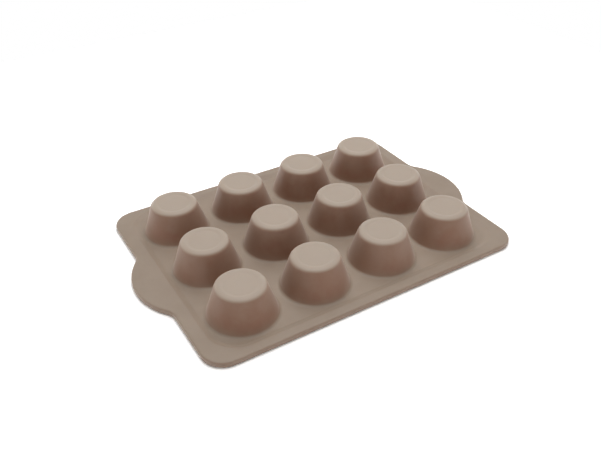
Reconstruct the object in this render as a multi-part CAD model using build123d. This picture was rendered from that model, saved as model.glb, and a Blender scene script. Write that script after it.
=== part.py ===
from build123d import *
import math
import os

os.makedirs("parts", exist_ok=True)

# Twelve-cup muffin pan: one silicone moulding over a closed steel wire that stiffens its rim.
# It lies upside down, as it is put away or left to cool: the rim's in-use top face is on z = 0
# and the cup bottoms point up. Millimetres. +X runs along the long side through both handle
# tabs, and the origin is the middle of the face that the rim rests on.

# Cup grid
cup_columns = 4
cup_rows = 3
cup_gap_x = 9.9
cup_gap_y = 9.2

# One cup, measured on its outside
cup_foot_radius = 35.2
cup_bottom_radius = 23.7
cup_height = 34.1
cup_wall = 2.0
cup_bottom_bevel = 2.2

# Shallow dish in each cup bottom, which leaves a raised ring for the pan to stand on in use
dish_depth = 0.7
dish_slope_width = 2.2

# Deck that joins the cups
deck_thickness = 2.0
deck_margin = 3.5

# Rim, thicker than the deck and proud of it on both sides
rim_thickness = 6.4
rim_step_below = 2.0
rim_slope_width = 4.7
rim_end_band = 15.25
rim_side_band = 12.0
rim_corner_radius = 23.5
rim_edge_bevel = 1.2
recess_corner_radius = 30.2

# Handle tabs in the middle of both ends
tab_reach = 19.2
tab_half_width = 48.0
tab_blend_radius = 14.5

# Steel wire, bent into a rounded rectangle and welded shut, with flats around its section
wire_diameter = 3.5
wire_side_count = 6
wire_inset = 6.2
wire_clearance = 0.05

# Overrun of every cut past the face that it opens
cut_overrun = 1.0

# Places that follow from the sizes above
cup_pitch_x = 2 * cup_foot_radius + cup_gap_x
cup_pitch_y = 2 * cup_foot_radius + cup_gap_y
deck_length = (cup_columns - 1) * cup_pitch_x + 2 * (cup_foot_radius + deck_margin)
deck_width = (cup_rows - 1) * cup_pitch_y + 2 * (cup_foot_radius + deck_margin)
deck_corner_radius = recess_corner_radius - rim_slope_width
recess_length = deck_length + 2 * rim_slope_width
recess_width = deck_width + 2 * rim_slope_width
rim_length = recess_length + 2 * rim_end_band
rim_width = recess_width + 2 * rim_side_band
deck_lower_face = rim_step_below
deck_upper_face = deck_lower_face + deck_thickness
pan_height = deck_upper_face + cup_height
cup_taper = (cup_foot_radius - cup_bottom_radius) / cup_height
cup_wall_across = cup_wall * math.sqrt(1 + cup_taper**2)
dish_floor = pan_height - dish_depth
cup_floor = dish_floor - cup_wall
tab_arc_radius = (tab_half_width**2 + tab_reach**2) / (2 * tab_reach)
tab_arc_centre = rim_length / 2 + tab_reach - tab_arc_radius


def cup_outer_radius(height):
    """Outside radius of a cup's straight flank at a height above the table."""
    return cup_foot_radius - cup_taper * (height - deck_upper_face)


def cup_inner_radius(height):
    """Inside radius of a cup's straight flank at a height above the table."""
    return cup_outer_radius(height) - cup_wall_across


def rim_edge():
    """Closed outline of the rim and its handle tabs: one quarter, mirrored twice."""
    end = rim_length / 2
    side = rim_width / 2
    corner = rim_corner_radius
    blend_x = end + tab_blend_radius
    blend_reach = tab_arc_radius + tab_blend_radius
    blend_y = math.sqrt(blend_reach**2 - (blend_x - tab_arc_centre) ** 2)
    tab_angle = math.degrees(math.atan2(blend_y, blend_x - tab_arc_centre))
    quarter = Curve() + [
        Line((0, side), (end - corner, side)),
        CenterArc((end - corner, side - corner), corner, 90, -90),
        Line((end, side - corner), (end, blend_y)),
        CenterArc((blend_x, blend_y), tab_blend_radius, 180, tab_angle),
        CenterArc((tab_arc_centre, 0), tab_arc_radius, tab_angle, -tab_angle),
    ]
    half = quarter + mirror(quarter, Plane.XZ)
    whole = half + mirror(half, Plane.YZ)
    return Wire(whole.edges())


def rim_recess(open_level, deck_level):
    """Pocket with sloping sides, from the rim's flat band to the deck."""
    wide = RectangleRounded(recess_length, recess_width, recess_corner_radius)
    narrow = RectangleRounded(deck_length, deck_width, deck_corner_radius)
    return loft([Pos(0, 0, open_level) * wide, Pos(0, 0, deck_level) * narrow], ruled=True)


def cup_places():
    """Centre of every cup on the pan's grid."""
    return GridLocations(cup_pitch_x, cup_pitch_y, cup_columns, cup_rows)


def turned(points):
    """Round solid turned about the Z axis from its radius and height points."""
    return revolve(Plane.XZ * make_face(Polyline(*points, close=True)), Axis.Z)


def cup_outside():
    """One cup's outer form: drafted flank, bevelled bottom edge, standing ring and dish."""
    bevel_foot = pan_height - cup_bottom_bevel
    ring_radius = cup_bottom_radius - cup_bottom_bevel
    return turned([
        (0, deck_lower_face),
        (cup_outer_radius(deck_lower_face), deck_lower_face),
        (cup_outer_radius(bevel_foot), bevel_foot),
        (ring_radius, pan_height),
        (ring_radius - dish_slope_width, dish_floor),
        (0, dish_floor),
    ])


def cup_inside():
    """The space inside one cup, from below the deck up to the cup's floor."""
    mouth = deck_lower_face - cut_overrun
    return turned([
        (0, mouth),
        (cup_inner_radius(mouth), mouth),
        (cup_inner_radius(cup_floor), cup_floor),
        (0, cup_floor),
    ])


def loop_of_wire(radius):
    """Wire of one section radius, bent to a rounded rectangle inside the rim and closed."""
    length = rim_length - 2 * wire_inset
    width = rim_width - 2 * wire_inset
    bend = RectangleRounded(length, width, rim_corner_radius - wire_inset)
    route = (Pos(0, 0, rim_thickness / 2) * bend).face().outer_wire()
    start = Plane(origin=route @ 0, z_dir=route % 0)
    return sweep(start * RegularPolygon(radius, wire_side_count), path=route)


def rim_and_deck():
    """Flat part of the moulding: the thick rim with its tabs, sloping down to the deck."""
    plate = extrude(make_face(rim_edge()), rim_thickness)
    plate = chamfer(plate.faces().filter_by(Axis.Z).edges(), rim_edge_bevel)
    plate -= rim_recess(0, deck_lower_face)
    return plate - rim_recess(rim_thickness, deck_upper_face)


def silicone_body():
    """The whole moulding, with the cups, the rim and the channel around the wire."""
    body = rim_and_deck() + [place * cup_outside() for place in cup_places()]
    body -= [place * cup_inside() for place in cup_places()]
    return body - loop_of_wire(wire_diameter / 2 + wire_clearance)


def steel_frame():
    """Reinforcing wire inside the rim."""
    return loop_of_wire(wire_diameter / 2)


for name, make in (("silicone_body", silicone_body), ("steel_frame", steel_frame)):
    shape = make()
    export_step(shape, f"parts/{name}.step")
    print(name, round(shape.volume), shape.is_valid, len(shape.solids()), len(shape.faces()))
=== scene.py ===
import math

import bmesh
import bpy
from bpy.props import FloatProperty, FloatVectorProperty, IntProperty, PointerProperty
from mathutils import Matrix, Vector


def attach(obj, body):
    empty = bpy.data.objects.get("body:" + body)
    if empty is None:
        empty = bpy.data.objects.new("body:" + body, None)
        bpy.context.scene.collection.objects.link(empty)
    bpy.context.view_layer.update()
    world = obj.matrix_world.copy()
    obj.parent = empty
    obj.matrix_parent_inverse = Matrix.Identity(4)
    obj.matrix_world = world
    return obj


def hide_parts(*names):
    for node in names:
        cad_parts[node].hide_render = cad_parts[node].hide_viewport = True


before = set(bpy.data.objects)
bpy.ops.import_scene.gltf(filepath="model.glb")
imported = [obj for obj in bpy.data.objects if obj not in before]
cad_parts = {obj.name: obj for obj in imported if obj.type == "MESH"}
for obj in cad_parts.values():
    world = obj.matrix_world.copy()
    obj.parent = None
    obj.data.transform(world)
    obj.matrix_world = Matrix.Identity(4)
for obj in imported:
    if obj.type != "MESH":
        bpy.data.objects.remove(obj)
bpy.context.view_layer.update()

bl_info = {
    "name": "Silicone Muffin Pan",
    "version": (1, 0, 0),
    "blender": (4, 5, 0),
    "location": "View3D > Sidebar > Muffin Pan",
    "description": "Builds a twelve-cup silicone muffin pan, lying upside down, in a white studio",
    "category": "Add Mesh",
}

# The pan lies upside down: its rim rests on z = 0 and the cup bottoms point up. Metres.
MM = 0.001
UP = (0.0, 0.0, 1.0)
WHITE = (1.0, 1.0, 1.0, 1.0)

# Steps of the meshes: around a cup, across a round, across the slope and the flat band of the
# rim, around the wire, and along its straight runs and its bends. No step along a cup's line is
# longer than LONGEST_STEP, and points closer than TOUCHING are one point.
CUP_STEPS = 80
ROUND_STEPS = 6
SLOPE_STEPS = 10
BAND_STEPS = 3
WIRE_SIDES = 16
RUN_STEPS = 8
BEND_STEPS = 10
LONGEST_STEP = 4.5 * MM
TOUCHING = 0.004 * MM

# A turned cup ends DECK_START foot rounds outside its foot. The deck goes on from there to the
# edge of the cup's cell in two rings of faces, which meet DECK_MIDDLE of the way out.
DECK_START = 0.73
DECK_MIDDLE = 0.4

# Share of a quarter turn's points that each side of a cell takes beside a rounded corner.
SIDE_POINTS = 0.25

# Added to a turn, so that one that lies on an axis never falls a hair short of its quarter.
SAME_QUARTER = 1e-9

# Painted light from above and painted sheen: a face is painted paler by how level it is,
# whether it looks up or down, from none at STEEP to all at LEVEL, as the upright part of its
# normal. A flank's painted light grows from none at its foot to its share below at its top.
# The crease around the foot and the rim's slope and edge are painted with some too.
STEEP = 0.32
LEVEL = 0.92
FLANK_PAINTED_LIGHT = 0.3
CREASE_PAINTED_LIGHT = 0.5
CREASE_HEIGHT = 9 * MM
EDGE_PAINTED_LIGHT = 0.6

# Silicone's index of refraction, how far red, green and blue light spread in it against each
# other and in all, and the share of light that spreads.
SILICONE_IOR = 1.41
SILICONE_SPREAD = (1.0, 0.6, 0.4)
SILICONE_DEPTH = 2.0 * MM
SILICONE_SHARE = 0.15

# Noise between these values fades the lighter patches in.
PATCH_NONE = 0.35
PATCH_FULL = 0.65


def linear(hex_colour):
    """Linear RGBA of an sRGB hex colour."""
    shares = [int(hex_colour[i : i + 2], 16) / 255 for i in (0, 2, 4)]
    return [c / 12.92 if c <= 0.04045 else ((c + 0.055) / 1.055) ** 2.4 for c in shares] + [1.0]


def length(name, millimetres, description):
    """A length property, given in millimetres and kept in metres."""
    return FloatProperty(
        name=name,
        description=description,
        default=millimetres * MM,
        min=0.0,
        precision=5,
        subtype="DISTANCE",
        unit="LENGTH",
    )


def colour(name, hex_colour, description):
    """A colour property, given as an sRGB hex value."""
    return FloatVectorProperty(
        name=name,
        description=description,
        default=linear(hex_colour),
        size=4,
        min=0.0,
        max=1.0,
        subtype="COLOR",
    )


def angle(name, degrees, description):
    """An angle property, given in degrees and kept in radians."""
    return FloatProperty(
        name=name,
        description=description,
        default=math.radians(degrees),
        subtype="ANGLE",
        unit="ROTATION",
    )


def share(name, value, description):
    """A plain factor from nothing to one."""
    return FloatProperty(
        name=name, description=description, default=value, min=0.0, max=1.0, subtype="FACTOR"
    )


def measure(name, value, description, unit="NONE"):
    """A measure that may be negative, or that isn't a length."""
    return FloatProperty(
        name=name, description=description, default=value, precision=4, unit=unit
    )


class CupSizes(bpy.types.PropertyGroup):
    """Grid and sizes of the cups, measured on their outside."""

    columns: IntProperty(name="Columns", description="Cups along the pan", default=4, min=2)
    rows: IntProperty(name="Rows", description="Cups across the pan", default=3, min=2)
    pitch_x: length("Pitch X", 80.3, "From cup to cup along the pan")
    pitch_y: length("Pitch Y", 79.6, "From cup to cup across the pan")
    offset: measure(
        "Offset", -0.7 * MM, "How far the grid lies off the rim's middle, along the pan", "LENGTH"
    )
    foot_radius: length("Foot radius", 35.1, "Radius where the flank meets the deck")
    bottom_radius: length("Bottom radius", 24.2, "Radius where the flank meets the bottom")
    height: length("Height", 34.1, "From the deck to the ring on the cup's bottom")
    wall: length("Wall", 2.0, "Thickness of the cup's flank and floor")
    foot_round: length("Foot round", 3.4, "Round between the flank and the deck")
    bottom_round: length("Bottom round", 5.4, "Round around the cup's bottom")
    floor_round: length("Floor round", 2.4, "Round inside, between the flank and the floor")
    mouth_round: length("Mouth round", 1.5, "Round of the mouth's edge on the in-use side")
    ring_width: length("Ring width", 1.3, "Narrow flat ring that the pan stands on in use")
    dish_depth: length("Dish depth", 0.5, "Depth of the dish inside that ring")
    dish_slope: length("Dish slope", 3.0, "Width of the slope from the ring into the dish")
    ring_round: length("Ring round", 1.3, "Round of the ring's inner edge")
    dish_round: length("Dish round", 3.9, "Round of the dish's lower edge")


class RimSizes(bpy.types.PropertyGroup):
    """Sizes of the deck, the rim and the handle tabs."""

    deck_low: length("Deck low", 2.0, "Height of the deck's in-use face")
    deck_high: length("Deck high", 4.0, "Height of the deck's underside")
    thickness: length("Rim thickness", 6.4, "Thickness of the rim and the tabs")
    deck_margin: length("Deck margin", 2.6, "Flat deck outside the outer cups")
    deck_corner: length("Deck corner", 24.4, "Corner radius of the flat deck")
    slope_width: length("Slope width", 8.6, "Width of the slope from the deck up to the rim")
    end_band: length("End band", 12.35, "Width of the rim's flat band at the ends")
    side_band: length("Side band", 9.1, "Width of the rim's flat band at the sides")
    corner: length("Rim corner", 23.5, "Corner radius of the rim")
    edge_round: length("Edge round", 1.9, "Round of the rim's edges")
    seam: length("Mould seam", 0.12, "How far the fine ridge of the mould's parting stands out")
    tab_reach: length("Tab reach", 19.15, "How far a handle tab stands out")
    tab_half_width: length("Tab half width", 48.0, "Half the chord of the tab's arc")
    tab_blend: length("Tab blend", 14.5, "Radius between the tab's arc and the end")


class WireSizes(bpy.types.PropertyGroup):
    """Sizes of the steel wire inside the rim."""

    diameter: length("Diameter", 3.5, "Thickness of the wire")
    inset: length("Inset", 6.2, "From the rim's edge to the middle of the wire")
    tint_length: length("Tint length", 12.0, "How far the weld's heat tint reaches each way")


class SiliconeLook(bpy.types.PropertyGroup):
    """Colours and finish of the silicone."""

    base: colour("Base", "865F49", "Colour of the silicone, a warm brown")
    # Painted light from above and painted sheen: the colour painted on level faces.
    gleam: colour("Gleam", "938272", "Colour of its level faces, as under a faint settled haze")
    # Paler colour near the cup bottoms, only on their level faces; what makes them paler is not
    # known.
    pallor: colour("Pallor", "A69687", "Paler colour of the cup bottoms, perhaps from wear")
    light: colour("Light mottle", "B0A090", "Colour that its lighter patches lean to")
    film: colour("Film", "FFF6EA", "Soft sheen at low angles, as from a thin film of dust")
    mottle_share: share("Mottle share", 0.12, "How far the lighter patches lean to that colour")
    roughness: share("Roughness", 0.5, "Roughness of the underside")
    in_use_roughness: share("In-use roughness", 0.4, "Roughness of the smoother in-use side")
    mottle_size: length("Mottle size", 28.0, "Size of the lighter and darker patches")
    grain_size: length("Grain size", 1.2, "Spacing of the blasted mould's grain")
    grain_depth: length("Grain depth", 0.1, "Depth of that grain")
    grain_share: share("Grain share", 0.12, "How much of that depth shows")
    film_share: share("Film share", 0.35, "How thick that film lies")
    film_roughness: share("Film roughness", 0.5, "How wide that film spreads light")
    pallor_start: length("Bloom start", 2.6, "How far below a cup's top the bloom starts")
    pallor_full: length("Bloom full", 0.6, "How far below a cup's top the bloom is full")


class WireLook(bpy.types.PropertyGroup):
    """Colours and finish of the steel wire."""

    steel: colour("Steel", "B9B6B1", "Colour of the bright drawn steel")
    heat: colour("Heat tint", "8A6A45", "Straw to brown tint beside the weld")
    roughness: share("Roughness", 0.32, "Roughness of the drawn surface")
    line_size: length("Line size", 0.3, "Spacing of the drawing lines")
    line_depth: length("Line depth", 0.02, "Depth of those lines")
    line_share: share("Line share", 0.2, "How much of that depth shows")


class Studio(bpy.types.PropertyGroup):
    """Camera, lamps and floor."""

    azimuth: angle("Azimuth", -30.277, "Turn of the camera round the pan")
    elevation: angle("Elevation", 35.18, "Height of the camera over the floor")
    roll: angle("Roll", -0.938, "Lean of the camera")
    distance: length("Distance", 754.6, "From the camera to the point that it is aimed at")
    aim_right: measure(
        "Aim right", -8.92 * MM, "How far right of the pan's middle it is aimed", "LENGTH"
    )
    aim_up: measure("Aim up", 8.21 * MM, "How far above the pan's middle it is aimed", "LENGTH")
    lens: measure("Lens", 41.119, "Focal length of the camera, in millimetres", "CAMERA")
    sensor: measure("Sensor", 36.0, "Width of the camera's sensor, in millimetres", "CAMERA")
    floor_size: length("Floor size", 1400.0, "Side of the square floor")
    softbox_size: length("Softbox size", 1400.0, "Side of the square lamp overhead")
    softbox_height: length("Softbox height", 1500.0, "Height of that lamp over the floor")
    softbox_power: measure("Softbox power", 15.2, "Power of the lamp overhead", "POWER")
    panel_size: length("Panel size", 1200.0, "Side of the square lamp behind the pan")
    panel_distance: length("Panel distance", 1500.0, "Distance of that lamp from the pan")
    panel_azimuth: angle("Panel azimuth", 60.1, "Direction of that lamp, from +X towards +Y")
    panel_elevation: angle("Panel elevation", 62.0, "Height of that lamp over the floor")
    panel_power: measure("Panel power", 10.3, "Power of the lamp behind", "POWER")
    horizon: measure("Horizon", 1.896, "Strength of the light that comes from low all round")
    horizon_top: angle("Horizon top", 32.0, "Height at which the low light ends")
    floor_tone: share("Floor tone", 0.9, "How much light the floor throws back")
    floor_shown: measure("Floor shown", 1.4, "How light the floor looks, past white for one")


def rounded_line(bm, corners):
    """Draw a wire line through (radius, height, round) corners, and round them by bevels."""
    points = [Vector((radius, 0.0, height)) for radius, height, _ in corners]
    verts = [bm.verts.new(point) for point in points]
    for pair in zip(verts, verts[1:]):
        bm.edges.new(pair)
    for i in range(1, len(points) - 1):
        turn = (points[i] - points[i - 1]).angle(points[i + 1] - points[i])
        bmesh.ops.bevel(
            bm,
            geom=[verts[i]],
            offset=corners[i][2] * math.tan(turn / 2),
            offset_type="OFFSET",
            affect="VERTICES",
            segments=ROUND_STEPS,
            profile=0.5,
            material=-1,
        )
    for edge in bm.edges[:]:
        cuts = int(edge.calc_length() / LONGEST_STEP)
        if cuts:
            bmesh.ops.subdivide_edges(bm, edges=[edge], cuts=cuts)


def turned_cup(bm, corners):
    """Turn a cup's rounded line about the Z axis, and close it on the axis."""
    rounded_line(bm, corners)
    bmesh.ops.spin(
        bm,
        geom=bm.verts[:] + bm.edges[:],
        cent=(0.0, 0.0, 0.0),
        axis=UP,
        angle=math.tau,
        steps=CUP_STEPS,
        use_merge=True,
    )
    bmesh.ops.remove_doubles(bm, verts=bm.verts[:], dist=TOUCHING)


def cup_corners(cup, rim, outside):
    """Corners of a cup's line from its axis out to the deck, outside or inside."""
    taper = (cup.foot_radius - cup.bottom_radius) / cup.height
    top = rim.deck_high + cup.height
    dish = top - cup.dish_depth
    deck_end = cup.foot_radius + DECK_START * cup.foot_round
    if outside:
        flank = math.atan(1 / taper)
        ring_outer = cup.bottom_radius - cup.bottom_round * math.tan(flank / 2)
        ring_inner = ring_outer - cup.ring_width
        return [
            (0.0, dish, 0.0),
            (ring_inner - cup.dish_slope, dish, cup.dish_round),
            (ring_inner, top, cup.ring_round),
            (cup.bottom_radius, top, cup.bottom_round),
            (cup.foot_radius, rim.deck_high, cup.foot_round),
            (deck_end, rim.deck_high, 0.0),
        ]
    wall_across = cup.wall * math.hypot(1, taper)
    floor = dish - cup.wall

    def inner(height):
        return cup.foot_radius - taper * (height - rim.deck_high) - wall_across

    return [
        (0.0, floor, 0.0),
        (inner(floor), floor, cup.floor_round),
        (inner(rim.deck_low), rim.deck_low, cup.mouth_round),
        (deck_end, rim.deck_low, 0.0),
    ]


def points_of(ring):
    """Vertices of a ring of edges, each once, in the ring's order."""
    return list(dict.fromkeys(vert for edge in ring for vert in edge.verts))


def grow(bm, ring, place):
    """Extrude a ring of open edges outward, and put each new vertex where place says."""
    made = bmesh.ops.extrude_edge_only(bm, edges=ring)["geom"]
    for vert in (g for g in made if isinstance(g, bmesh.types.BMVert)):
        vert.co = place(vert)
    return [g for g in made if isinstance(g, bmesh.types.BMEdge) and g.is_boundary]


def cell_point(turn, sides, corner):
    """Point at a turn about a cup on its cell's edge, with the deck's own corners rounded."""
    quarter = int(turn // (math.pi / 2)) % 4
    along = (turn % (math.pi / 2)) / (math.pi / 2)
    sign_x, sign_y = ((1, 1), (-1, 1), (-1, -1), (1, -1))[quarter]
    if quarter in (1, 3):
        along = 1 - along
    reach_x, outer_x = sides[0 if sign_x > 0 else 1]
    reach_y, outer_y = sides[2 if sign_y > 0 else 3]
    radius = corner if outer_x and outer_y else 0.0
    straight = SIDE_POINTS if radius else 0.5
    if along <= straight:
        x, y = reach_x, (reach_y - radius) * along / straight
    elif along >= 1 - straight:
        x, y = (reach_x - radius) * (1 - along) / straight, reach_y
    else:
        bend = math.pi / 2 * (along - straight) / (1 - 2 * straight)
        x = reach_x - radius + radius * math.cos(bend)
        y = reach_y - radius + radius * math.sin(bend)
    return Vector((sign_x * x, sign_y * y, 0.0))


class RimPath:
    """Where a point on the deck's outline goes as the rim grows out from it."""

    def __init__(self, cup, rim):
        margin = cup.foot_radius + rim.deck_margin
        self.rim = rim
        self.deck_x = (cup.columns - 1) / 2 * cup.pitch_x + margin
        self.deck_y = (cup.rows - 1) / 2 * cup.pitch_y + margin
        self.end = self.deck_x + rim.slope_width + rim.end_band
        self.side = self.deck_y + rim.slope_width + rim.side_band
        reach, half = rim.tab_reach, rim.tab_half_width
        self.tab_radius = (half**2 + reach**2) / (2 * reach)
        self.tab_centre = self.end + reach - self.tab_radius
        self.blend_x = self.end + rim.tab_blend
        run = self.blend_x - self.tab_centre
        self.blend_y = math.sqrt((self.tab_radius + rim.tab_blend) ** 2 - run**2)
        self.tab_angle = math.atan2(self.blend_y, run)

    def end_edge(self, along):
        """Point and outward direction on the rim's end, from the tab's tip to the corner."""
        tab_run = self.tab_radius * self.tab_angle
        blend_run = self.rim.tab_blend * self.tab_angle
        straight_run = self.side - self.rim.corner - self.blend_y
        run = along * (tab_run + blend_run + straight_run)
        if run < tab_run:
            turn = run / self.tab_radius
            out = Vector((math.cos(turn), math.sin(turn), 0.0))
            return Vector((self.tab_centre, 0.0, 0.0)) + out * self.tab_radius, out
        if run < tab_run + blend_run:
            turn = self.tab_angle - (run - tab_run) / self.rim.tab_blend
            out = Vector((math.cos(turn), math.sin(turn), 0.0))
            return Vector((self.blend_x, self.blend_y, 0.0)) - out * self.rim.tab_blend, out
        up = self.blend_y + run - tab_run - blend_run
        return Vector((self.end, up, 0.0)), Vector((1.0, 0.0, 0.0))

    def anchor(self, point):
        """Deck point, its outward direction, rim point and its outward direction."""
        x, y = abs(point.x), abs(point.y)
        deck_arc_x = self.deck_x - self.rim.deck_corner
        deck_arc_y = self.deck_y - self.rim.deck_corner
        rim_arc = Vector((self.end - self.rim.corner, self.side - self.rim.corner, 0.0))
        if x > deck_arc_x + TOUCHING and y > deck_arc_y + TOUCHING:
            out = Vector((x - deck_arc_x, y - deck_arc_y, 0.0)).normalized()
            edge, edge_out = rim_arc + out * self.rim.corner, out
        elif x > self.deck_x - TOUCHING:
            out = Vector((1.0, 0.0, 0.0))
            edge, edge_out = self.end_edge(y / deck_arc_y)
        else:
            out = edge_out = Vector((0.0, 1.0, 0.0))
            edge = Vector((x / deck_arc_x * rim_arc.x, self.side, 0.0))
        flip = Vector((math.copysign(1, point.x), math.copysign(1, point.y), 0.0))
        deck = Vector((x, y, 0.0))
        return [vector * flip for vector in (deck, out, edge, edge_out)]

    def rings(self, outside):
        """Functions from an anchor to its point on each ring, from the deck to the seam."""
        rim = self.rim
        middle = rim.thickness / 2
        side = 1 if outside else -1
        deck = rim.deck_high if outside else rim.deck_low
        face = middle + side * middle

        def slope(along):
            rise = along * along * (3 - 2 * along)
            height = deck + (face - deck) * rise
            return lambda a: a[0] + a[1] * rim.slope_width * along + Vector((0, 0, height))

        def band(along):
            inset = rim.edge_round + rim.seam
            return lambda a: (
                (a[0] + a[1] * rim.slope_width).lerp(a[2] - a[3] * inset, along)
                + Vector((0, 0, face))
            )

        def edge(inset, height):
            return lambda a: a[2] - a[3] * inset + Vector((0, 0, height))

        made = [slope(i / SLOPE_STEPS) for i in range(1, SLOPE_STEPS + 1)]
        made += [band(i / BAND_STEPS) for i in range(1, BAND_STEPS + 1)]
        for i in range(1, ROUND_STEPS + 1):
            turn = math.pi / 2 * i / ROUND_STEPS
            inset = rim.seam + rim.edge_round * (1 - math.sin(turn))
            made.append(edge(inset, face - side * rim.edge_round * (1 - math.cos(turn))))
        made.append(edge(rim.seam, middle + side * rim.seam))
        made.append(edge(0.0, middle))
        return made


def cup_places(cup, margin):
    """Centre of each cup, and its cell's sides to +X, -X, +Y and -Y.

    A side is how far the cell reaches, and whether the deck ends there.
    """
    for row in range(cup.rows):
        for column in range(cup.columns):
            x = (column - (cup.columns - 1) / 2) * cup.pitch_x + cup.offset
            y = (row - (cup.rows - 1) / 2) * cup.pitch_y
            half_x, half_y = cup.pitch_x / 2, cup.pitch_y / 2
            yield Vector((x, y, 0.0)), (
                (margin - cup.offset, True) if column == cup.columns - 1 else (half_x, False),
                (margin + cup.offset, True) if column == 0 else (half_x, False),
                (margin, True) if row == cup.rows - 1 else (half_y, False),
                (margin, True) if row == 0 else (half_y, False),
            )


def moulding_sheet(cup, rim, outside):
    """One face of the moulding, from the cup bottoms to the seam around the rim."""
    bm = bmesh.new()
    track = bm.verts.layers.int.new("track")
    turned_cup(bm, cup_corners(cup, rim, outside))
    original = bm.verts[:] + bm.edges[:] + bm.faces[:]
    deck = Vector((0.0, 0.0, rim.deck_high if outside else rim.deck_low))
    for centre, sides in cup_places(cup, cup.foot_radius + rim.deck_margin):
        copy = bmesh.ops.duplicate(bm, geom=original)["geom"]
        verts = [g for g in copy if isinstance(g, bmesh.types.BMVert)]
        bmesh.ops.translate(bm, verts=verts, vec=centre)
        ring = [g for g in copy if isinstance(g, bmesh.types.BMEdge) and g.is_boundary]

        def target(vert):
            at = vert.co - centre
            step = round(math.atan2(at.y, at.x) / math.tau * CUP_STEPS) % CUP_STEPS
            turn = step * math.tau / CUP_STEPS + SAME_QUARTER
            return centre + deck + cell_point(turn, sides, rim.deck_corner)

        ring = grow(bm, ring, lambda vert: vert.co.lerp(target(vert), DECK_MIDDLE))
        grow(bm, ring, target)
    bmesh.ops.delete(bm, geom=original, context="VERTS")
    bmesh.ops.remove_doubles(bm, verts=bm.verts[:], dist=TOUCHING)
    path = RimPath(cup, rim)
    ring = [edge for edge in bm.edges if edge.is_boundary]
    anchors = []
    for vert in points_of(ring):
        vert[track] = len(anchors)
        anchors.append(path.anchor(vert.co))
    for place in path.rings(outside):
        ring = grow(bm, ring, lambda vert: place(anchors[vert[track]]))
    return bm


def close_up(bm, what):
    """Merge a piece's seams, turn its faces outward, and fail if it still has an open edge."""
    bmesh.ops.remove_doubles(bm, verts=bm.verts[:], dist=TOUCHING)
    bmesh.ops.recalc_face_normals(bm, faces=bm.faces[:])
    open_edges = sum(not edge.is_manifold for edge in bm.edges)
    if open_edges:
        raise RuntimeError(f"the {what} has {open_edges} open edges")


def painted_light_share(vert, cup, rim, path):
    """How much painted light from above and painted sheen a vertex takes, from none at 0 to all at
    1.
    """
    on_rim = abs(vert.co.x) > path.deck_x or abs(vert.co.y) > path.deck_y
    above = vert.co.z - rim.deck_high
    painted = (abs(vert.normal.z) - STEEP) / (LEVEL - STEEP)
    crease_or_edge = EDGE_PAINTED_LIGHT if on_rim else CREASE_PAINTED_LIGHT * (1 - above / CREASE_HEIGHT)
    return max(FLANK_PAINTED_LIGHT * above / cup.height, crease_or_edge, painted)


def add_piece(name, bm, materials):
    """Make a smooth-shaded object from a finished bmesh, at the origin."""
    for face in bm.faces:
        face.smooth = True
    mesh = bpy.data.meshes.new(name)
    bm.to_mesh(mesh)
    bm.free()
    for material in materials:
        mesh.materials.append(material)
    piece = bpy.data.objects.new(name, mesh)
    bpy.context.scene.collection.objects.link(piece)
    return piece


def add_node(tree, kind, settings=None, **inputs):
    """Add a node, with its settings, and with each input set to a value or linked."""
    node = tree.nodes.new(kind)
    for key, value in (settings or {}).items():
        setattr(node, key, value)
    for key, value in inputs.items():
        name = int(key[3:]) if key[:3] == "at_" else key.replace("_", " ")
        socket = node.inputs[name]
        if isinstance(value, bpy.types.NodeSocket):
            tree.links.new(value, socket)
        else:
            socket.default_value = value
    return node


def new_material(name):
    """A new material, and its empty node tree."""
    material = bpy.data.materials.new(name)
    material.use_nodes = True
    material.node_tree.nodes.clear()
    return material, material.node_tree


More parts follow.
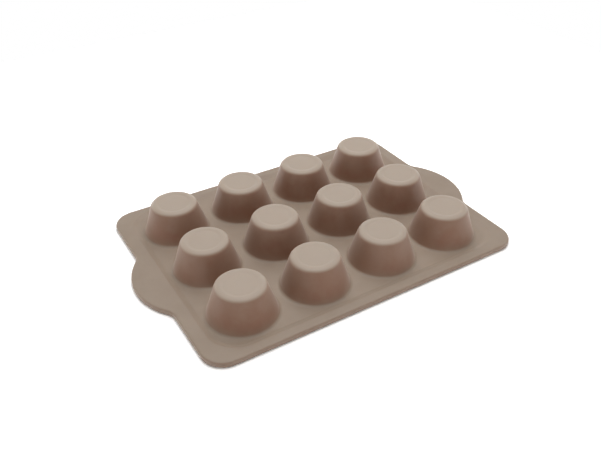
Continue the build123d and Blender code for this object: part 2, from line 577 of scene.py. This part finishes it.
def silicone_material(look, cup, rim):
    """Liquid silicone rubber, injection moulded in a blasted steel mould.

    The eye sees a matte, faintly cloudy brown, smoother on the in-use side. Its level faces,
    the upper flanks, the creases round the feet and the rim's slope and edge are painted paler,
    as painted light from above and painted sheen. The cup bottoms are paler still; that is
    matched to the photograph, and what makes them paler is not known.
    The grain is drawn about ten times coarser than is usual for such a mould, so that it shows.
    """
    material, tree = new_material("moulded_silicone_rubber_matte")
    place = add_node(tree, "ShaderNodeTexCoord").outputs["Object"]
    height = add_node(tree, "ShaderNodeSeparateXYZ", Vector=place).outputs["Z"]
    inside = add_node(
        tree, "ShaderNodeAttribute", {"attribute_name": "in_use_side"}
    ).outputs["Fac"]
    # Each vertex's share of painted light from above and painted sheen, stored on the mesh.
    level = add_node(tree, "ShaderNodeAttribute", {"attribute_name": "level"}).outputs["Fac"]
    mottle = add_node(
        tree,
        "ShaderNodeTexNoise",
        Vector=place,
        Scale=1 / look.mottle_size,
        Detail=3.0,
        Roughness=0.55,
    ).outputs["Fac"]
    patches = add_node(
        tree,
        "ShaderNodeMapRange",
        {"interpolation_type": "SMOOTHSTEP"},
        Value=mottle,
        From_Min=PATCH_NONE,
        From_Max=PATCH_FULL,
        To_Max=look.mottle_share,
    ).outputs["Result"]
    # Share of painted light from above and painted sheen, smoothed.
    painted = add_node(
        tree,
        "ShaderNodeMapRange",
        {"interpolation_type": "SMOOTHSTEP"},
        Value=level,
    ).outputs["Result"]
    top = rim.deck_high + cup.height
    risen = add_node(
        tree,
        "ShaderNodeMapRange",
        {"interpolation_type": "SMOOTHSTEP"},
        Value=height,
        From_Min=top - look.pallor_start,
        From_Max=top - look.pallor_full,
    ).outputs["Result"]
    pale = add_node(
        tree,
        "ShaderNodeMix",
        {"data_type": "RGBA"},
        at_0=risen,
        at_6=tuple(look.gleam),
        at_7=tuple(look.pallor),
    ).outputs[2]
    # Level faces painted paler: painted light from above and painted sheen.
    body = add_node(
        tree,
        "ShaderNodeMix",
        {"data_type": "RGBA"},
        at_0=painted,
        at_6=tuple(look.base),
        at_7=pale,
    ).outputs[2]
    tone = add_node(
        tree,
        "ShaderNodeMix",
        {"data_type": "RGBA"},
        at_0=patches,
        at_6=body,
        at_7=tuple(look.light),
    ).outputs[2]
    roughness = add_node(
        tree,
        "ShaderNodeMix",
        {"data_type": "FLOAT"},
        at_0=inside,
        at_2=look.roughness,
        at_3=look.in_use_roughness,
    ).outputs[0]
    grain = add_node(
        tree, "ShaderNodeTexNoise", Vector=place, Scale=1 / look.grain_size, Detail=2.0
    ).outputs["Fac"]
    bump = add_node(
        tree,
        "ShaderNodeBump",
        Height=grain,
        Strength=look.grain_share,
        Distance=look.grain_depth,
    ).outputs["Normal"]
    shader = add_node(
        tree,
        "ShaderNodeBsdfPrincipled",
        {"subsurface_method": "RANDOM_WALK"},
        Base_Color=tone,
        Roughness=roughness,
        IOR=SILICONE_IOR,
        Normal=bump,
        Subsurface_Weight=SILICONE_SHARE,
        Subsurface_Radius=SILICONE_SPREAD,
        Subsurface_Scale=SILICONE_DEPTH,
        Sheen_Weight=look.film_share,
        Sheen_Roughness=look.film_roughness,
        Sheen_Tint=tuple(look.film),
    )
    add_node(tree, "ShaderNodeOutputMaterial", Surface=shader.outputs["BSDF"])
    return material


def wire_material(look, weld, tint_length):
    """Stainless spring steel, drawn to wire and left bright, then butt welded.

    The eye sees fine lines along the wire, and a straw to brown tint beside the weld. The
    lines are drawn several times coarser than real ones, so that they show.
    """
    material, tree = new_material("stainless_wire_drawn_bright")
    place = add_node(tree, "ShaderNodeTexCoord").outputs["Object"]
    height_only = add_node(
        tree, "ShaderNodeVectorMath", {"operation": "MULTIPLY"}, at_0=place, at_1=UP
    ).outputs["Vector"]
    lines = add_node(
        tree, "ShaderNodeTexNoise", Vector=height_only, Scale=1 / look.line_size, Detail=3.0
    ).outputs["Fac"]
    from_weld = add_node(
        tree, "ShaderNodeVectorMath", {"operation": "DISTANCE"}, at_0=place, at_1=tuple(weld)
    ).outputs["Value"]
    heated = add_node(
        tree,
        "ShaderNodeMapRange",
        {"interpolation_type": "SMOOTHSTEP"},
        Value=from_weld,
        From_Max=tint_length,
        To_Min=1.0,
        To_Max=0.0,
    ).outputs["Result"]
    tone = add_node(
        tree,
        "ShaderNodeMix",
        {"data_type": "RGBA"},
        at_0=heated,
        at_6=tuple(look.steel),
        at_7=tuple(look.heat),
    ).outputs[2]
    bump = add_node(
        tree, "ShaderNodeBump", Height=lines, Strength=look.line_share, Distance=look.line_depth
    ).outputs["Normal"]
    shader = add_node(
        tree,
        "ShaderNodeBsdfPrincipled",
        Base_Color=tone,
        Metallic=1.0,
        Roughness=look.roughness,
        Normal=bump,
    )
    add_node(tree, "ShaderNodeOutputMaterial", Surface=shader.outputs["BSDF"])
    return material


def floor_material(studio):
    """Matte white studio board.

    The eye, and what shines, see it white, with the pan's soft shadow. What it throws back
    on the pan is weaker, as from a board in a large room.
    """
    material, tree = new_material("studio_board_white")
    path = add_node(tree, "ShaderNodeLightPath").outputs
    shown = add_node(
        tree,
        "ShaderNodeMath",
        {"operation": "MAXIMUM"},
        at_0=path["Is Camera Ray"],
        at_1=path["Is Glossy Ray"],
    ).outputs[0]
    shown = add_node(
        tree,
        "ShaderNodeMath",
        {"operation": "MAXIMUM"},
        at_0=shown,
        at_1=path["Is Transmission Ray"],
    ).outputs[0]
    tone = add_node(
        tree,
        "ShaderNodeMix",
        {"data_type": "FLOAT"},
        at_0=shown,
        at_2=studio.floor_tone,
        at_3=studio.floor_shown,
    ).outputs[0]
    diffuse = add_node(tree, "ShaderNodeBsdfDiffuse", Color=tone)
    add_node(tree, "ShaderNodeOutputMaterial", Surface=diffuse.outputs["BSDF"])
    return material


class PAN_OT_silicone_moulding(bpy.types.Operator):
    """Mould the silicone body: cups, deck, rim and handle tabs in one closed skin"""

    bl_idname = "pan.silicone_moulding"
    bl_label = "Silicone moulding"

    def execute(self, context):
        scene = context.scene
        cup, rim = scene.pan_cup, scene.pan_rim
        bm = moulding_sheet(cup, rim, outside=True)
        inside = moulding_sheet(cup, rim, outside=False)
        loose = bpy.data.meshes.new("in_use_sheet")
        inside.to_mesh(loose)
        inside.free()
        outer_count = len(bm.verts)
        bm.from_mesh(loose)
        bpy.data.meshes.remove(loose)
        side = bm.verts.layers.float.new("in_use_side")
        bm.verts.ensure_lookup_table()
        for vert in bm.verts[outer_count:]:
            vert[side] = 1.0
        close_up(bm, "moulding")
        bm.verts.layers.int.remove(bm.verts.layers.int["track"])
        # Each vertex's share of painted light from above and painted sheen.
        level = bm.verts.layers.float.new("level")
        bm.normal_update()
        path = RimPath(cup, rim)
        for vert in bm.verts:
            vert[level] = painted_light_share(vert, cup, rim, path)
        material = silicone_material(scene.pan_silicone, cup, rim)
        piece = add_piece("silicone_moulding", bm, [material])
        piece.modifiers.new("even normals", "WEIGHTED_NORMAL").keep_sharp = False
        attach(piece, "root")
        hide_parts("silicone_body")
        return {"FINISHED"}


class PAN_OT_reinforcing_wire(bpy.types.Operator):
    """Bend the steel wire inside the rim and close it with a weld"""

    bl_idname = "pan.reinforcing_wire"
    bl_label = "Reinforcing wire"

    def execute(self, context):
        scene = context.scene
        cup, rim, wire = scene.pan_cup, scene.pan_rim, scene.pan_wire
        path = RimPath(cup, rim)
        middle = rim.thickness / 2
        bend = rim.corner - wire.inset
        run_x = 2 * (path.end - rim.corner)
        run_y = 2 * (path.side - rim.corner)
        bm = bmesh.new()
        start = Vector((-run_x / 2, wire.inset - path.side, middle))
        turn_to_x = Matrix.Translation(start) @ Matrix.Rotation(math.pi / 2, 4, "Y")
        bmesh.ops.create_circle(
            bm, segments=WIRE_SIDES, radius=wire.diameter / 2, matrix=turn_to_x
        )
        ring = bm.edges[:]
        heading = Vector((1.0, 0.0, 0.0))
        at = start.copy()
        for run in (run_x, run_y, run_x, run_y):
            step = heading * run / RUN_STEPS
            for _ in range(RUN_STEPS):
                ring = grow(bm, ring, lambda vert: vert.co + step)
            at += heading * run
            centre = at + Vector((-heading.y, heading.x, 0.0)) * bend
            last = bmesh.ops.spin(
                bm,
                geom=points_of(ring) + ring,
                cent=centre,
                axis=UP,
                angle=math.pi / 2,
                steps=BEND_STEPS,
                use_merge=False,
            )["geom_last"]
            ring = [g for g in last if isinstance(g, bmesh.types.BMEdge)]
            at = centre + heading * bend
            heading = Vector((-heading.y, heading.x, 0.0))
        close_up(bm, "wire")
        weld = start + Vector((run_x / 2, 0.0, 0.0))
        material = wire_material(scene.pan_wire_look, weld, wire.tint_length)
        piece = add_piece("reinforcing_wire", bm, [material])
        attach(piece, "root")
        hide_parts("steel_frame")
        return {"FINISHED"}


def hang_lamp(name, size, power, toward, distance):
    """Hang a square area lamp in a direction from the pan, aimed at it."""
    lamp = bpy.data.lights.new(name, "AREA")
    lamp.shape = "SQUARE"
    lamp.size = size
    lamp.energy = power
    holder = bpy.data.objects.new(name, lamp)
    holder.location = Vector(toward) * distance
    holder.rotation_euler = Vector(toward).to_track_quat("Z", "Y").to_euler()
    bpy.context.scene.collection.objects.link(holder)


def studio_world(studio):
    """Light that comes from low all round, before a backdrop that the camera sees white."""
    world = bpy.data.worlds.new("studio_sky")
    world.use_nodes = True
    tree = world.node_tree
    tree.nodes.clear()
    seen = add_node(tree, "ShaderNodeLightPath").outputs["Is Camera Ray"]
    toward = add_node(tree, "ShaderNodeTexCoord").outputs["Generated"]
    height = add_node(tree, "ShaderNodeSeparateXYZ", Vector=toward).outputs["Z"]
    light = add_node(
        tree,
        "ShaderNodeMapRange",
        {"interpolation_type": "SMOOTHSTEP"},
        Value=height,
        From_Max=math.sin(studio.horizon_top),
        To_Min=studio.horizon,
        To_Max=0.0,
    ).outputs["Result"]
    sky = add_node(
        tree, "ShaderNodeMix", {"data_type": "FLOAT"}, at_0=seen, at_2=light, at_3=1.0
    ).outputs[0]
    background = add_node(tree, "ShaderNodeBackground", Color=WHITE, Strength=sky)
    add_node(tree, "ShaderNodeOutputWorld", Surface=background.outputs["Background"])
    return world


def studio_camera(studio):
    """The photograph's camera, turned round the pan, leaning and aimed a little off it."""
    across = math.cos(studio.elevation)
    back = Vector((
        math.sin(studio.azimuth) * across,
        -math.cos(studio.azimuth) * across,
        math.sin(studio.elevation),
    ))
    right = (-back).cross(Vector(UP)).normalized()
    up = right.cross(-back)
    turned_right = right * math.cos(studio.roll) + up * math.sin(studio.roll)
    turned_up = up * math.cos(studio.roll) - right * math.sin(studio.roll)
    aim = turned_right * studio.aim_right + turned_up * studio.aim_up
    data = bpy.data.cameras.new("camera")
    data.sensor_width = studio.sensor
    data.lens = studio.lens
    camera = bpy.data.objects.new("camera", data)
    axes = Matrix((turned_right, turned_up, back)).transposed().to_4x4()
    camera.matrix_world = Matrix.Translation(aim + back * studio.distance) @ axes
    bpy.context.scene.collection.objects.link(camera)
    return camera


class PAN_OT_studio(bpy.types.Operator):
    """Lay the white floor, hang the lamps and set up the camera"""

    bl_idname = "pan.studio"
    bl_label = "Studio"

    def execute(self, context):
        scene = context.scene
        studio = scene.pan_studio
        bm = bmesh.new()
        bmesh.ops.create_grid(bm, x_segments=1, y_segments=1, size=studio.floor_size / 2)
        floor = add_piece("studio_floor", bm, [floor_material(studio)])

        hang_lamp("softbox", studio.softbox_size, studio.softbox_power, UP, studio.softbox_height)
        turn, rise = studio.panel_azimuth, studio.panel_elevation
        toward_panel = (
            math.cos(turn) * math.cos(rise),
            math.sin(turn) * math.cos(rise),
            math.sin(rise),
        )
        hang_lamp(
            "back_panel",
            studio.panel_size,
            studio.panel_power,
            toward_panel,
            studio.panel_distance,
        )

        scene.world = studio_world(studio)
        scene.camera = studio_camera(studio)
        scene.view_settings.view_transform = "Standard"
        return {"FINISHED"}


class PAN_PT_panel(bpy.types.Panel):
    """Sizes and finishes of the muffin pan"""

    bl_idname = "PAN_PT_panel"
    bl_label = "Muffin Pan"
    bl_space_type = "VIEW_3D"
    bl_region_type = "UI"
    bl_category = "Muffin Pan"

    def draw(self, context):
        for operator, groups in STEPS:
            box = self.layout.box()
            for group in groups:
                settings = getattr(context.scene, group)
                for name in settings.__annotations__:
                    box.prop(settings, name)
            box.operator(operator)


GROUPS = {
    "pan_cup": CupSizes,
    "pan_rim": RimSizes,
    "pan_wire": WireSizes,
    "pan_silicone": SiliconeLook,
    "pan_wire_look": WireLook,
    "pan_studio": Studio,
}
STEPS = (
    ("pan.silicone_moulding", ("pan_cup", "pan_rim", "pan_silicone")),
    ("pan.reinforcing_wire", ("pan_wire", "pan_wire_look")),
    ("pan.studio", ("pan_studio",)),
)
CLASSES = (
    *GROUPS.values(),
    PAN_OT_silicone_moulding,
    PAN_OT_reinforcing_wire,
    PAN_OT_studio,
    PAN_PT_panel,
)


def register():
    """Register the classes, and keep the settings on the scene."""
    for cls in CLASSES:
        bpy.utils.register_class(cls)
    for name, group in GROUPS.items():
        setattr(bpy.types.Scene, name, PointerProperty(type=group))


def unregister():
    """Take the settings off the scene, and unregister the classes."""
    for name in GROUPS:
        delattr(bpy.types.Scene, name)
    for cls in reversed(CLASSES):
        bpy.utils.unregister_class(cls)


def main():
    """Build the pan and its studio."""
    register()
    bpy.ops.pan.silicone_moulding()
    bpy.ops.pan.reinforcing_wire()
    bpy.ops.pan.studio()


if __name__ == "__main__":
    main()
